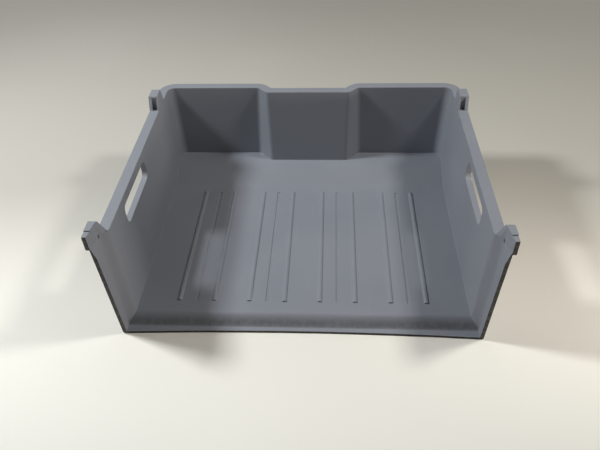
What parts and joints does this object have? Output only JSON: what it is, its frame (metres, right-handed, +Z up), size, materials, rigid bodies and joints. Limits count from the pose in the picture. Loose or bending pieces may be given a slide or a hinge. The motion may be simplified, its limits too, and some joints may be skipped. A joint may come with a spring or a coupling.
{
  "type": "freezer drawer",
  "caption": "Shallow moulded freezer drawer tub with an open stepped front, ribbed floor, hand slots, hanging flanges, front ears and rear stop lugs.",
  "frame": {"origin": "middle of the drawer's footprint, on the plane that the runners and the front edge stand on", "axes": "+X across the drawer to the right as seen from the open front, +Y from the open front to the back, +Z up"},
  "size_m": [0.4188, 0.3322, 0.15],
  "materials": {
    "tub_plastic": "fine matte moulded texture"
  },
  "bodies": {
    "root": {"drawer_tub": "tub_plastic"}
  },
  "joints": []
}
